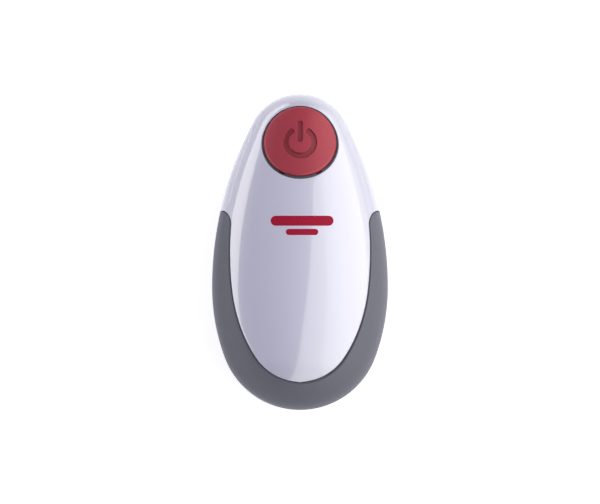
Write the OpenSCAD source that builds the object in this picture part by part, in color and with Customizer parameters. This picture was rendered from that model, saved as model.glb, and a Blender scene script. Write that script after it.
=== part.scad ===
// Hands-free battery can opener: egg-shaped two-part housing, press button,
// motor, three-stage gear train, drive wheel and swinging cutter.
// X across, +Y towards the nose, +Z up, Z = 0 the plane it stands on.

/* [Housing] */
// Wall thickness of both housings
wall = 2.2; // [2.0:0.1:2.4]
// Shadow gap between the upper and lower housing
seam_gap = 0.5; // [0.3:0.1:0.7]
/* [Button] */
// Radius of the press button
button_r = 21.2; // [20.8:0.1:21.3]
// Height of the button above the crown
button_rise = 0.6; // [0.3:0.1:1.0]
/* [Mechanism] */
// Offset of the cutter axle from its carrier axis
cutter_throw = 2.6; // [2.2:0.1:2.7]
// Radius of the cutter disc
cutter_r = 7.5; // [7.0:0.1:7.6]

/* [Hidden] */
$fn = 72;
e = 0.01;

// egg outline: nose arc, tail arc and two pairs of flank arcs, all tangent
half_w = 51.5;
nose_y = 61.5;
nose_r = 31;
tail_y = -45.5;
tail_r = 47;
wide_y = -20.5;
floor_z = 9;
base_z = 28;
flat_k = 32 / half_w;
function flank_r(b, r) = (half_w * half_w + (b - r) * (b - r) - r * r) / (2 * half_w - 2 * r);
front_r = flank_r(nose_y - wide_y + nose_r, nose_r);
rear_r = flank_r(wide_y - tail_y + tail_r, tail_r);
front_ty = wide_y + (nose_y - wide_y) * front_r / (front_r - nose_r);
rear_ty = wide_y + (tail_y - wide_y) * rear_r / (rear_r - tail_r);

module egg_half(o) {
    intersection() {
        translate([half_w - front_r, wide_y]) circle(r = front_r + o, $fn = 360);
        translate([0, wide_y]) square([80, front_ty - wide_y]);
    }
    intersection() {
        translate([half_w - rear_r, wide_y]) circle(r = rear_r + o, $fn = 360);
        translate([0, rear_ty]) square([80, wide_y - rear_ty]);
    }
    intersection() {
        translate([0, nose_y]) circle(r = nose_r + o, $fn = 180);
        translate([0, front_ty]) square([80, 40]);
    }
    intersection() {
        translate([0, tail_y]) circle(r = tail_r + o, $fn = 180);
        translate([0, rear_ty - 40]) square([80, 40]);
    }
}

module egg(o) {
    egg_half(o);
    mirror([1, 0]) egg_half(o);
}

// the top is the egg turned about its long axis and flattened
module quarter_crown(o) {
    translate([0, 0, base_z])
        scale([1, 1, flat_k])
            rotate([-90, 0, 0])
                rotate([0, 0, -90])
                    rotate_extrude(angle = 90, $fn = 144) egg_half(o);
}

module crown(o) {
    quarter_crown(o);
    mirror([1, 0, 0]) quarter_crown(o);
}

module egg_slab(o, z0, z1) {
    translate([0, 0, z0]) linear_extrude(height = z1 - z0) egg(o);
}

module outer() {
    crown(0);
    egg_slab(0, floor_z, base_z);
}

module inner() {
    crown(-wall);
    egg_slab(-wall, floor_z + wall, base_z);
}

// side profile of the lower housing's upper edge, drawn with x = Y and y = Z
arc_r = 700;
arc_y = -75;
arc_z = 50.2 - arc_r;
cor_r = 9.5;
cor_y = 14.4;
cor_z = arc_z + sqrt(pow(arc_r - cor_r, 2) - pow(cor_y - arc_y, 2));
split_z = 20;
module seam(o) {
    intersection() {
        translate([arc_y, arc_z]) circle(r = arc_r + o, $fn = 2000);
        polygon([[-130, -20], [cor_y, -20], [cor_y, cor_z],
            [cor_y + (cor_y - arc_y) * 0.03, cor_z + (cor_z - arc_z) * 0.03], [-130, 80]]);
    }
    translate([cor_y, cor_z]) circle(r = cor_r + o);
    translate([-130, -20]) square([130 + cor_y + cor_r + o, cor_z + 20]);
    translate([-130, -20]) square([300, 20 + split_z + o]);
    difference() {
        translate([cor_y + cor_r + o - 1, split_z + o - 1]) square([7, 7]);
        translate([cor_y + cor_r + o + 6, split_z + o + 6]) circle(r = 6);
    }
}

module seam_cut(o) {
    rotate([90, 0, 90]) translate([0, 0, -80]) linear_extrude(height = 160) seam(o);
}

module cyl(p, r, z0, z1) {
    translate([p[0], p[1], z0]) cylinder(r = r, h = z1 - z0);
}

module ring(p, r0, r1, z0, z1) {
    difference() {
        cyl(p, r1, z0, z1);
        cyl(p, r0, z0 - 1, z1 + 1);
    }
}

module slab(x, y, z) {
    translate([x[0], y[0], z[0]]) cube([x[1] - x[0], y[1] - y[0], z[1] - z[0]]);
}

// places
drive_p = [0, 62.4];
carrier_p = [0, 79.2];
motor_p = [0, 4.59];
g1_p = [4, 17.48];
g2_p = [-2, 31.23];
g3_p = [8, 43.2];
magnet_p = [0, 42];
posts = [[-16, 44], [20, 26], [-16, 12], [-12, 82], [12, 82], [16, -2]];
front_bolts = [[-31, 46], [31, 46]];
mid_bolts = [[-33.5, -10], [33.5, -10]];
plate_bolts = [[-17, 56], [17, 56], [-17, 77.5], [17, 77.5]];
feet = [[-38.5, -50], [38.5, -50]];

// button axis leans 17 degrees to the nose
module on_button() {
    translate([0, 64.8, 48.4]) rotate([-17, 0, 0]) children();
}

// ---- housings ----
module upper_housing() {
    difference() {
        union() {
            difference() {
                outer();
                inner();
                seam_cut(seam_gap / 2);
            }
            intersection() {
                on_button() cyl([0, 0], 23.6, -9.4, 6);
                crown(-0.5);
            }
            intersection() {
                for (p = concat(front_bolts, mid_bolts)) cyl(p, 3.6, 24.1, 60);
                union() {
                    crown(-0.8);
                    egg_slab(-3, 20, base_z);
                }
            }
        }
        on_button() cyl([0, 0], 22.05, -20, 12);
        for (p = concat(front_bolts, mid_bolts)) cyl(p, 1.5, 20, 36);
    }
}

module lower_housing() {
    difference() {
        union() {
            intersection() {
                difference() {
                    outer();
                    inner();
                }
                seam_cut(-seam_gap / 2);
            }
            for (p = posts) cyl(p, 3.4, floor_z + 1, 12);
            for (p = feet) cyl(p, 5.6, 2, floor_z + 1);
            for (p = concat(front_bolts, mid_bolts)) cyl(p, 4.4, floor_z + 1, 24);
            cyl(drive_p, 7.5, floor_z + 1, 12);
            cyl(carrier_p, 8.6, floor_z + 1, 12);
        }
        // battery bay, door seat and door grooves
        slab([-29.7, 29.7], [-75.5, -16.5], [5, 14]);
        slab([-31.6, 31.6], [-110, -15.9], [5, 10.9]);
        slab([-33.1, 33.1], [-110, -15.9], [9.8, 10.9]);
        cyl(drive_p, 4.5, 5, 20);
        cyl(carrier_p, 6.55, 5, 20);
        for (p = posts) cyl(p, 1.1, 10, 20);
        for (p = plate_bolts) cyl(p, 1.0, 5, 20);
        for (p = concat(front_bolts, mid_bolts)) {
            cyl(p, 3.2, 5, 16);
            cyl(p, 1.7, 5, 30);
        }
        for (p = feet) cyl(p, 4.2, 1, 3.4);
    }
}

// curved guard under the nose: covers the cutter and is the front rest
module nose_guard() {
    difference() {
        egg_slab(0, 0, floor_z);
        egg_slab(-wall, -1, floor_z + 1);
        slab([-60, 60], [-100, 75], [-2, 12]);
    }
}

module battery_door() {
    difference() {
        union() {
            intersection() {
                egg_slab(0, floor_z, 10.8);
                slab([-31.5, 31.5], [-110, -16], [0, 20]);
            }
            slab([-33, 33], [-60, -16], [9.9, 10.8]);
        }
        for (i = [0 : 4]) slab([-10, 10], [-82 + 2.6 * i, -80.8 + 2.6 * i], [8, 9.6]);
        slab([-6, 6], [-18.2, -17], [8, 9.6]);
    }
}

// ---- button and switch ----
module button() {
    difference() {
        intersection() {
            on_button() cyl([0, 0], button_r, -10, 8);
            crown(button_rise);
        }
        intersection() {
            on_button() cyl([0, 0], button_r - 1.8, -11, 8);
            crown(button_rise - 2.2);
        }
    }
    on_button() cyl([0, 0], 2.5, -11.6, -0.8);
}

module button_bezel() {
    intersection() {
        on_button() ring([0, 0], 21.45, 22, -9.5, 8);
        crown(0.05);
    }
    on_button() ring([0, 0], 21.45, 24, -10.6, -9.45);
}

// round wire wound into a helix, with closed ends
module coil(r, w, h, turns, r_top) {
    n = 20 * turns;
    k = 8;
    pts = [for (i = [0 : n]) for (j = [0 : k - 1])
        let (a = 360 * turns * i / n, c = (r + (r_top - r) * i / n) + w * cos(360 * j / k))
        [c * cos(a), c * sin(a), h * i / n + w * sin(360 * j / k)]];
    sides = [for (i = [0 : n - 1]) for (j = [0 : k - 1])
        [i * k + j, i * k + (j + 1) % k, (i + 1) * k + (j + 1) % k, (i + 1) * k + j]];
    ends = [[for (j = [k - 1 : -1 : 0]) j], [for (j = [0 : k - 1]) n * k + j]];
    polyhedron(points = pts, faces = concat(sides, ends), convexity = 8);
}

module button_spring() {
    on_button() translate([0, 0, -12.7]) coil(5.2, 0.45, 9.6, 5, 5.2);
}

module microswitch_body() {
    on_button() difference() {
        slab([-6.4, 6.4], [-3, 3], [-20, -14.65]);
        cyl([0, 0], 1.3, -18, -14);
        for (s = [-1, 1]) translate([4.2 * s, 4, -18.4]) rotate([90, 0, 0]) cylinder(r = 0.9, h = 8);
    }
    on_button() for (s = [-1, 1]) slab([5 * s - 0.6, 5 * s + 0.6], [-0.3, 0.3], [-22, -19.9]);
}

module switch_plunger() {
    on_button() cyl([0, 0], 1.2, -16, -11.65);
}

module switch_bracket() {
    on_button() difference() {
        slab([-13, 13], [-7, 7], [-14.6, -13.2]);
        cyl([0, 0], 1.9, -15, -12);
    }
    difference() {
        for (s = [-1, 1]) slab([12 * s - 1, 12 * s + 1], [58, 66], [26.2, 35.5]);
        on_button() slab([-20, 20], [-20, 20], [-14.5, 10]);
    }
}

// ---- motor ----
module motor_can() {
    difference() {
        union() {
            cyl(motor_p, 12.1, 26.2, 48);
            cyl(motor_p, 3.05, 25, 27);
        }
        cyl(motor_p, 11.1, 27.2, 49);
        cyl(motor_p, 1.05, 24, 28);
        for (s = [-1, 1]) cyl([8 * s, motor_p[1]], 1.0, 25, 28);
    }
}

module motor_end_cap() {
    difference() {
        cyl(motor_p, 12.1, 48, 50.4);
        cyl(motor_p, 1.05, 47, 49.6);
        for (s = [-1, 1]) slab([7 * s - 1.2, 7 * s + 1.2], [4.2, 5], [47, 52]);
    }
}

module motor_terminals() {
    for (s = [-1, 1]) slab([7 * s - 1.2, 7 * s + 1.2], [4.2, 5], [48, 54]);
}

module motor_rotor() {
    cyl(motor_p, 1.0, 16.8, 49.4);
    translate([motor_p[0], motor_p[1], 0]) difference() {
        cyl([0, 0], 10.2, 30, 43);
        for (i = [0 : 2]) rotate([0, 0, 120 * i]) slab([4, 12], [-0.9, 0.9], [29, 44]);
    }
    cyl(motor_p, 3.2, 43, 47);
}

module motor_screws() {
    for (s = [-1, 1]) {
        cyl([8 * s, motor_p[1]], 1.8, 23.8, 25);
        cyl([8 * s, motor_p[1]], 1.0, 24.5, 27.8);
    }
}

// ---- gears ----
function inv(a) = tan(a) * 180 / PI - a;
module gear(p, n, m, phase, z0, z1, bore) {
    rp = n * m / 2;
    rb = rp * cos(25);
    ra = rp + 0.9 * m;
    rf = rp - 1.2 * m;
    r0 = max(rb, rf) + 0.001;
    hw = 90 / n + inv(25) - 0.05 / rp * 180 / PI;
    pts = [for (i = [0 : n - 1]) let (t = phase + 360 * i / n) each concat(
        [[rf, t - hw + inv(acos(rb / r0)) - 0.5 * max(0, r0 - rf) / rf]],
        [for (j = [0 : 3]) let (r = r0 + (ra - r0) * j / 3) [r, t - hw + inv(acos(rb / r))]],
        [for (j = [3 : -1 : 0]) let (r = r0 + (ra - r0) * j / 3) [r, t + hw - inv(acos(rb / r))]],
        [[rf, t + hw - inv(acos(rb / r0)) + 0.5 * max(0, r0 - rf) / rf]])];
    translate([p[0], p[1], z0]) linear_extrude(height = z1 - z0) difference() {
        polygon([for (q = pts) [q[0] * cos(q[1]), q[0] * sin(q[1])]]);
        circle(r = bore);
    }
}

// phase of a wheel that meshes with one already placed
function mesh(pi, ti, ni, pj, nj) = let (f = atan2(pj[1] - pi[1], pj[0] - pi[0]))
    f + 180 - 360 / nj * ((ti - f) * ni / 360 + 0.5);
g1_t = mesh(motor_p, 0, 10, g1_p, 44);
g2_t = mesh(g1_p, 0, 12, g2_p, 48);
g3_t = mesh(g2_p, 0, 12, g3_p, 40);
d_t = mesh(g3_p, 0, 12, drive_p, 40);
c_t = mesh(drive_p, 0, 25, carrier_p, 17);

module motor_pinion() {
    gear(motor_p, 10, 0.5, 0, 17.6, 21, 1.0);
}

module gear_1() {
    gear(g1_p, 44, 0.5, g1_t, 17.6, 21, 1.55);
    gear(g1_p, 12, 0.5, 0, 13.8, 17.6, 1.55);
    ring(g1_p, 1.55, 3.2, 21, 24.9);
}

module gear_2() {
    gear(g2_p, 48, 0.5, g2_t, 13.8, 17.2, 1.55);
    ring(g2_p, 1.55, 3, 17.2, 21.4);
    gear(g2_p, 12, 0.6, 0, 21.4, 24.9, 1.55);
}

module gear_3() {
    gear(g3_p, 40, 0.6, g3_t, 21.4, 24.4, 2.05);
    gear(g3_p, 12, 0.8, 0, 17.6, 21.4, 2.05);
    ring(g3_p, 2.05, 2.8, 13.4, 17.6);
}

module drive_gear() {
    gear(drive_p, 40, 0.8, d_t, 17.6, 21, 2.5);
    gear(drive_p, 25, 0.8, 0, 13.8, 17.6, 2.5);
    ring(drive_p, 2.5, 4, 21, 24.9);
}

module gear_axle_1() {
    cyl(g1_p, 1.5, 12, 26.2);
}

module gear_axle_2() {
    cyl(g2_p, 1.5, 12, 26.2);
}

module gear_axle_3() {
    cyl(g3_p, 2, 12, 26.2);
}

module drive_shaft() {
    cyl(drive_p, 2.5, 3, 26.6);
}

module drive_wheel() {
    n = 28;
    translate([drive_p[0], drive_p[1], 4.8]) linear_extrude(height = 3.2) difference() {
        polygon([for (i = [0 : n - 1]) for (j = [0 : 1])
            let (a = 360 * (i + j / 2) / n, r = j == 0 ? 6 : 5.35) [r * cos(a), r * sin(a)]]);
        circle(r = 2.5);
    }
}

module drive_nut() {
    translate([drive_p[0], drive_p[1], 3.4]) difference() {
        cylinder(r = 4.4, h = 1.4, $fn = 6);
        translate([0, 0, -1]) cylinder(r = 2.5, h = 4);
    }
}

module lower_drive_bush() {
    ring(drive_p, 2.55, 4.5, 9, 13.3);
    ring(drive_p, 2.55, 6, 13.2, 13.7);
}

module upper_drive_bush() {
    ring(drive_p, 2.55, 4, 25, 26.3);
    ring(drive_p, 2.55, 5.2, 26.2, 27);
}

// ---- cutter ----
axle_p = [carrier_p[0], carrier_p[1] + cutter_throw];
module cutter_gear() {
    gear(carrier_p, 17, 0.8, c_t, 13.8, 16.2, 3.25);
}

module cutter_carrier() {
    difference() {
        union() {
            cyl(carrier_p, 6.5, 8.1, 13.3);
            cyl(carrier_p, 7.4, 13.25, 13.65);
            cyl(carrier_p, 3.2, 13.5, 17.35);
            slab([6, 9.3], [carrier_p[1] - 1, carrier_p[1] + 1], [13.25, 13.65]);
        }
        cyl(axle_p, 2, 7, 12.4);
    }
}

module cutter_wheel() {
    difference() {
        union() {
            translate([axle_p[0], axle_p[1], 5.6]) cylinder(r1 = cutter_r - 0.7, r2 = cutter_r, h = 0.4);
            translate([axle_p[0], axle_p[1], 6]) cylinder(r1 = cutter_r, r2 = cutter_r - 0.7, h = 0.4);
            cyl(axle_p, 4, 5.3, 8);
        }
        cyl(axle_p, 2.05, 5, 9);
    }
}

module cutter_bolt() {
    cyl(axle_p, 2, 4, 12.4);
    difference() {
        cyl(axle_p, 3.4, 3.8, 5.2);
        slab([axle_p[0] - 5, axle_p[0] + 5], [axle_p[1] - 0.4, axle_p[1] + 0.4], [3, 4.4]);
    }
}

module clutch_spring_washer() {
    ring(carrier_p, 3.2, 5.4, 16.25, 16.75);
}

module carrier_clip() {
    difference() {
        ring(carrier_p, 3.2, 5.4, 16.8, 17.2);
        slab([-1.6, 1.6], [carrier_p[1], carrier_p[1] + 8], [16, 18]);
    }
}

module carrier_stops() {
    for (a = [-13, 193]) cyl([8.7 * cos(a), carrier_p[1] + 8.7 * sin(a)], 0.8, 12, 13.75);
}

module rim_plate() {
    difference() {
        intersection() {
            egg_slab(-3.2, 8.2, floor_z);
            slab([-40, 40], [52.5, 100], [8, 10]);
        }
        cyl(drive_p, 3.4, 8, 10);
        cyl(carrier_p, 6.8, 8, 10);
        for (p = plate_bolts) cyl(p, 1.2, 8, 10);
    }
}

module rim_plate_screws() {
    for (p = plate_bolts) difference() {
        union() {
            cyl(p, 2.1, 7.1, 8.2);
            cyl(p, 1.0, 8, 11.8);
        }
        for (a = [0, 90]) translate([p[0], p[1], 7]) rotate([0, 0, a]) cube([2.6, 0.5, 1], center = true);
    }
}

// ---- gear frame ----
module plate(z0, z1) {
    translate([0, 0, z0]) linear_extrude(height = z1 - z0) intersection() {
        egg(-6);
        union() {
            translate([-21, -6]) square([46, 56]);
            translate(drive_p) circle(r = 19);
            translate([-17, 60]) square([34, 40]);
        }
    }
}

module lower_gear_plate() {
    difference() {
        plate(12, 13.2);
        for (p = posts) cyl(p, 1.1, 11, 15);
        cyl(g1_p, 1.5, 11, 15);
        cyl(g2_p, 1.5, 11, 15);
        cyl(g3_p, 2, 11, 15);
        cyl(drive_p, 4.5, 11, 15);
        cyl(carrier_p, 6.55, 11, 15);
        for (a = [-13, 193]) cyl([8.7 * cos(a), carrier_p[1] + 8.7 * sin(a)], 0.8, 11, 15);
    }
}

module upper_gear_plate() {
    difference() {
        plate(25, 26.2);
        for (p = posts) cyl(p, 1.1, 24, 28);
        cyl(g1_p, 1.5, 24, 28);
        cyl(g2_p, 1.5, 24, 28);
        cyl(g3_p, 2, 24, 28);
        cyl(drive_p, 4, 24, 28);
        cyl(motor_p, 3.05, 24, 28);
        for (s = [-1, 1]) cyl([8 * s, motor_p[1]], 1.0, 24, 28);
    }
}

module spacer_posts() {
    for (p = posts) ring(p, 1.1, 2.5, 13.2, 25);
}

module plate_screws() {
    for (p = posts) {
        cyl(p, 1.1, 10.2, 27);
        difference() {
            cyl(p, 2.2, 26.2, 27.5);
            slab([p[0] - 3, p[0] + 3], [p[1] - 0.3, p[1] + 0.3], [27, 28]);
        }
    }
}

module magnet() {
    cyl(magnet_p, 7, 5.4, 8.4);
}

module magnet_holder() {
    difference() {
        union() {
            cyl(magnet_p, 9.5, 6, floor_z);
            for (s = [-1, 1]) cyl([magnet_p[0] + 7.5 * s, magnet_p[1] - 7], 1.4, 6, floor_z);
        }
        cyl(magnet_p, 7, 5, 8.4);
    }
}

// ---- batteries ----
module battery_tray() {
    difference() {
        slab([-31.2, 31.2], [-77, -15], [11.2, 28.2]);
        slab([-29.7, 29.7], [-75.5, -16.5], [10, 26.7]);
        for (x = [-15, 0, 15]) slab([x - 4, x + 4], [-60, -32], [26, 29]);
    }
    for (x = [-15, 0, 15]) slab([x - 0.25, x + 0.25], [-75.6, -16.4], [24.8, 26.8]);
}

module battery(i) {
    s = i % 2 == 0 ? 1 : -1;
    x = -22.5 + 15 * i;
    translate([x, -46 - 0.65 * s, 19.2]) rotate([-90 * s, 0, 0]) {
        translate([0, 0, -24.6]) cylinder(r = 7.1, h = 49.2);
        translate([0, 0, 24]) cylinder(r = 2.7, h = 1.9);
    }
}

module battery_1() {
    battery(0);
}

module battery_2() {
    battery(1);
}

module battery_3() {
    battery(2);
}

module battery_4() {
    battery(3);
}

module contact_springs() {
    for (i = [0 : 3]) {
        s = i % 2 == 0 ? 1 : -1;
        y = s > 0 ? -74.7 : -17.3;
        translate([-22.5 + 15 * i, y, 19.2]) rotate([-90 * s, 0, 0]) coil(4.6, 0.35, 2.9, 2, 2.4);
    }
}

module contact_plates() {
    for (x = [-27.5, 2.5]) slab([x, x + 25], [-75.5, -75.1], [13.5, 24.5]);
    for (x = [-27.5, 17.5]) slab([x, x + 10], [-16.9, -16.5], [13.5, 24.5]);
    slab([-12.5, 12.5], [-16.9, -16.5], [13.5, 24.5]);
}

// ---- wires, each one tube along a smooth curve through a few points ----
function smooth(p, n) = [for (i = [0 : len(p) - 2]) for (j = [0 : n - 1])
    let (t = j / n, a = p[max(0, i - 1)], b = p[i], c = p[i + 1], d = p[min(len(p) - 1, i + 2)])
    (2 * b + (c - a) * t + (2 * a - 5 * b + 4 * c - d) * t * t
        + (3 * b - a - 3 * c + d) * t * t * t) / 2];
function unit(v) = v / norm(v);
module wire(p, r) {
    q = concat(smooth(p, 5), [p[len(p) - 1]]);
    n = len(q) - 1;
    k = 12;
    pts = [for (i = [0 : n]) let (t = unit(q[min(n, i + 1)] - q[max(0, i - 1)]),
        u = unit(cross(t, [1, 0.15, 0])), v = cross(t, u))
        for (j = [0 : k - 1]) q[i] + r * (u * cos(360 * j / k) + v * sin(360 * j / k))];
    sides = [for (i = [0 : n - 1]) for (j = [0 : k - 1])
        [i * k + j, (i + 1) * k + j, (i + 1) * k + (j + 1) % k, i * k + (j + 1) % k]];
    ends = [[for (j = [0 : k - 1]) j], [for (j = [k - 1 : -1 : 0]) n * k + j]];
    polyhedron(points = pts, faces = concat(sides, ends), convexity = 6);
}

module wire_red() {
    wire([[22.5, -14.1, 22], [22.8, -12.6, 29], [19, -4, 32], [18, 14, 31.5], [17, 36, 31],
        [14, 48, 30], [10.5, 54.5, 28.8], [6.3, 58.5, 28.1]], 0.7);
}

module wire_black() {
    wire([[-22.5, -14.1, 22], [-22.5, -12.6, 29], [-19, -6, 40], [-14, 0, 49], [-8.9, 4.6, 53]], 0.7);
}

module wire_blue() {
    wire([[8.9, 4.6, 53], [13, 12, 49], [12, 26, 39], [4, 44, 31.5], [-4, 54, 28.8],
        [-6.3, 58.3, 28.1]], 0.7);
}

module housing_screws() {
    for (p = concat(front_bolts, mid_bolts)) {
        cyl(p, 1.5, 14, 34);
        difference() {
            cyl(p, 3, 14, 16);
            for (a = [0, 90]) translate([p[0], p[1], 14]) rotate([0, 0, a]) cube([3.6, 0.8, 1.6], center = true);
        }
    }
}

module foot_left() {
    cyl(feet[0], 4.2, 0, 3.4);
}

module foot_right() {
    cyl(feet[1], 4.2, 0, 3.4);
}

color([0.93, 0.93, 0.96]) upper_housing();
color([0.42, 0.43, 0.46]) lower_housing();
color([0.42, 0.43, 0.46]) nose_guard();
color([0.42, 0.43, 0.46]) battery_door();
color([0.72, 0.12, 0.18]) button();
color([0.25, 0.26, 0.27]) button_bezel();
color([0.7, 0.71, 0.73]) button_spring();
color([0.1, 0.1, 0.11]) microswitch_body();
color([0.8, 0.2, 0.1]) switch_plunger();
color([0.2, 0.2, 0.21]) switch_bracket();
color([0.7, 0.71, 0.73]) motor_can();
color([0.9, 0.88, 0.8]) motor_end_cap();
color([0.8, 0.62, 0.3]) motor_terminals();
color([0.7, 0.71, 0.73]) motor_rotor();
color([0.8, 0.62, 0.3]) motor_pinion();
color([0.7, 0.71, 0.73]) motor_screws();
color([0.93, 0.91, 0.84]) gear_1();
color([0.93, 0.91, 0.84]) gear_2();
color([0.93, 0.91, 0.84]) gear_3();
color([0.7, 0.71, 0.73]) gear_axle_1();
color([0.7, 0.71, 0.73]) gear_axle_2();
color([0.7, 0.71, 0.73]) gear_axle_3();
color([0.93, 0.91, 0.84]) drive_gear();
color([0.7, 0.71, 0.73]) drive_shaft();
color([0.7, 0.71, 0.73]) drive_wheel();
color([0.7, 0.71, 0.73]) drive_nut();
color([0.8, 0.62, 0.3]) lower_drive_bush();
color([0.8, 0.62, 0.3]) upper_drive_bush();
color([0.93, 0.91, 0.84]) cutter_gear();
color([0.7, 0.71, 0.73]) cutter_carrier();
color([0.7, 0.71, 0.73]) cutter_wheel();
color([0.7, 0.71, 0.73]) cutter_bolt();
color([0.7, 0.71, 0.73]) clutch_spring_washer();
color([0.7, 0.71, 0.73]) carrier_clip();
color([0.7, 0.71, 0.73]) carrier_stops();
color([0.7, 0.71, 0.73]) rim_plate();
color([0.7, 0.71, 0.73]) rim_plate_screws();
color([0.85, 0.85, 0.85]) lower_gear_plate();
color([0.85, 0.85, 0.85]) upper_gear_plate();
color([0.7, 0.71, 0.73]) spacer_posts();
color([0.7, 0.71, 0.73]) plate_screws();
color([0.7, 0.71, 0.73]) magnet();
color([0.42, 0.43, 0.46]) magnet_holder();
color([0.2, 0.2, 0.21]) battery_tray();
color([0.15, 0.25, 0.4]) battery_1();
color([0.15, 0.25, 0.4]) battery_2();
color([0.15, 0.25, 0.4]) battery_3();
color([0.15, 0.25, 0.4]) battery_4();
color([0.7, 0.71, 0.73]) contact_springs();
color([0.8, 0.62, 0.3]) contact_plates();
color([0.8, 0.05, 0.05]) wire_red();
color([0.05, 0.05, 0.05]) wire_black();
color([0.1, 0.2, 0.7]) wire_blue();
color([0.7, 0.71, 0.73]) housing_screws();
color([0.1, 0.1, 0.1]) foot_left();
color([0.1, 0.1, 0.1]) foot_right();
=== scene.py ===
from math import asin, atan2, cos, pi, radians, sin, sqrt

import bmesh
import bpy
import numpy as np
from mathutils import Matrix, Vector


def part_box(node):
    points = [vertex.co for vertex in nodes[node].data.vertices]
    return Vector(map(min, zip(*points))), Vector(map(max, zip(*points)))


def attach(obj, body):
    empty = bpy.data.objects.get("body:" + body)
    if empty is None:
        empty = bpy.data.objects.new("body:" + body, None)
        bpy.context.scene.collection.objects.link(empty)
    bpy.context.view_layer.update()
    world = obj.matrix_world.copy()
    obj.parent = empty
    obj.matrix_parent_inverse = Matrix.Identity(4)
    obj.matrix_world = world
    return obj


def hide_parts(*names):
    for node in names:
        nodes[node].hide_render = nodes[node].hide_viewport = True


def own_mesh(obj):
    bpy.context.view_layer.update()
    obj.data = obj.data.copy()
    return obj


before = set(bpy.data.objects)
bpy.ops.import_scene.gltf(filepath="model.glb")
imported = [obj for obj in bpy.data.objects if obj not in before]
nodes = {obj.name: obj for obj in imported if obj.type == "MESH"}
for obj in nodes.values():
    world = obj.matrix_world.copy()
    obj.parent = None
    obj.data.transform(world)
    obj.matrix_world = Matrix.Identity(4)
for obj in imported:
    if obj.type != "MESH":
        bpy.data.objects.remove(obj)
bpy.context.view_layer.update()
MM = 0.001

# ---------------------------------------------------------------- camera
# A long lens hung straight above the opener and turned so that its nose is up.
# The outline's widest level, 28 mm up, is what the frame's width is set to.
outline_height = 28 * MM
frame_width = 351.24 * MM
lens, sensor, far_clip = 250.0, 36.0, 20
camera_data = bpy.data.cameras.new("overhead_camera")
camera_data.lens = lens
camera_data.sensor_width = sensor
camera_data.clip_end = far_clip
camera = bpy.data.objects.new("overhead_camera", camera_data)
camera.location = (0, 0, outline_height + frame_width * lens / sensor)
bpy.context.scene.collection.objects.link(camera)
bpy.context.scene.camera = camera

# ---------------------------------------------------------------- studio
# A white table inside a light tent, lavender overhead, brighter on the right
# and shaded past tail and nose. The table glows, painted light that lifts the
# shadow round the opener and lights its underside. Long cards that only gloss
# can see stand round the crown. The camera sees one plain pale backdrop instead
# of the tent.
bpy.context.scene.view_settings.view_transform = "Standard"
bpy.context.scene.view_settings.look = "None"


class Wire:
    """A shader socket that plain arithmetic can be written on."""

    def __init__(self, socket):
        self.socket = socket

    def maths(self, operation, *others):
        maths = self.socket.node.id_data.nodes.new("ShaderNodeMath")
        maths.operation = operation
        for slot, value in zip(maths.inputs, (self, *others)):
            if isinstance(value, Wire):
                maths.id_data.links.new(value.socket, slot)
            else:
                slot.default_value = value
        return Wire(maths.outputs[0])

    def __add__(self, other):
        return self.maths("ADD", other)

    def __sub__(self, other):
        return self.maths("SUBTRACT", other)

    def __mul__(self, other):
        return self.maths("MULTIPLY", other)

    def __rsub__(self, other):
        return (self * -1.0) + other

    __radd__ = __add__
    __rmul__ = __mul__


class Shading:
    """A node tree with one way to add nodes to it."""

    def __init__(self, tree, shader):
        self.tree = tree
        self.shader = tree.nodes[shader]

    def plug(self, socket, value):
        if isinstance(value, Wire):
            self.tree.links.new(value.socket, socket)
        else:
            socket.default_value = value

    def set(self, name, value):
        self.plug(self.shader.inputs[name], value)

    def node(self, kind, settings=None, out=0, **sockets):
        made = self.tree.nodes.new("ShaderNode" + kind)
        for key, value in (settings or {}).items():
            if key == "stops":
                ramp = made.color_ramp
                ramp.elements.remove(ramp.elements[1])
                for i, (at, colour) in enumerate(value):
                    stop = ramp.elements[0] if i == 0 else ramp.elements.new(at)
                    stop.position = at
                    stop.color = (*colour, 1)
            else:
                setattr(made, key, value)
        for key, value in sockets.items():
            index = int(key[1:]) if key[1:].isdigit() else key.replace("_", " ")
            self.plug(made.inputs[index], value)
        return Wire(made.outputs[out])


class Finish(Shading):
    """One material on a Principled shader."""

    def __init__(self, name, colour, rough=0.4, **constants):
        self.material = bpy.data.materials.new(name)
        self.material.use_nodes = True
        super().__init__(self.material.node_tree, "Principled BSDF")
        self.set("Base Color", (*colour, 1))
        self.set("Roughness", rough)
        for socket, value in constants.items():
            self.set(socket.replace("_", " "), value)

    def place(self):
        return self.node("TexCoord", out=3)

    def grain(self, scale, detail=3.0, stretch=None):
        place = self.place()
        if stretch:
            place = self.node("Mapping", Vector=place, Scale=stretch)
        return self.node("TexNoise", Vector=place, Scale=scale, Detail=detail)

    def bump(self, height, depth, strength=1.0):
        self.set("Normal", self.node("Bump", Height=height, Distance=depth, Strength=strength))

    def speckle(self, mask, dark, light):
        self.set("Base Color", self.node("ValToRGB", {"stops": [(0.3, dark), (0.7, light)]}, Fac=mask))
        return self

    def on(self, *names):
        for name in names:
            mesh = nodes[name].data
            mesh.materials.clear()
            mesh.materials.append(self.material)
        return self


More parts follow.
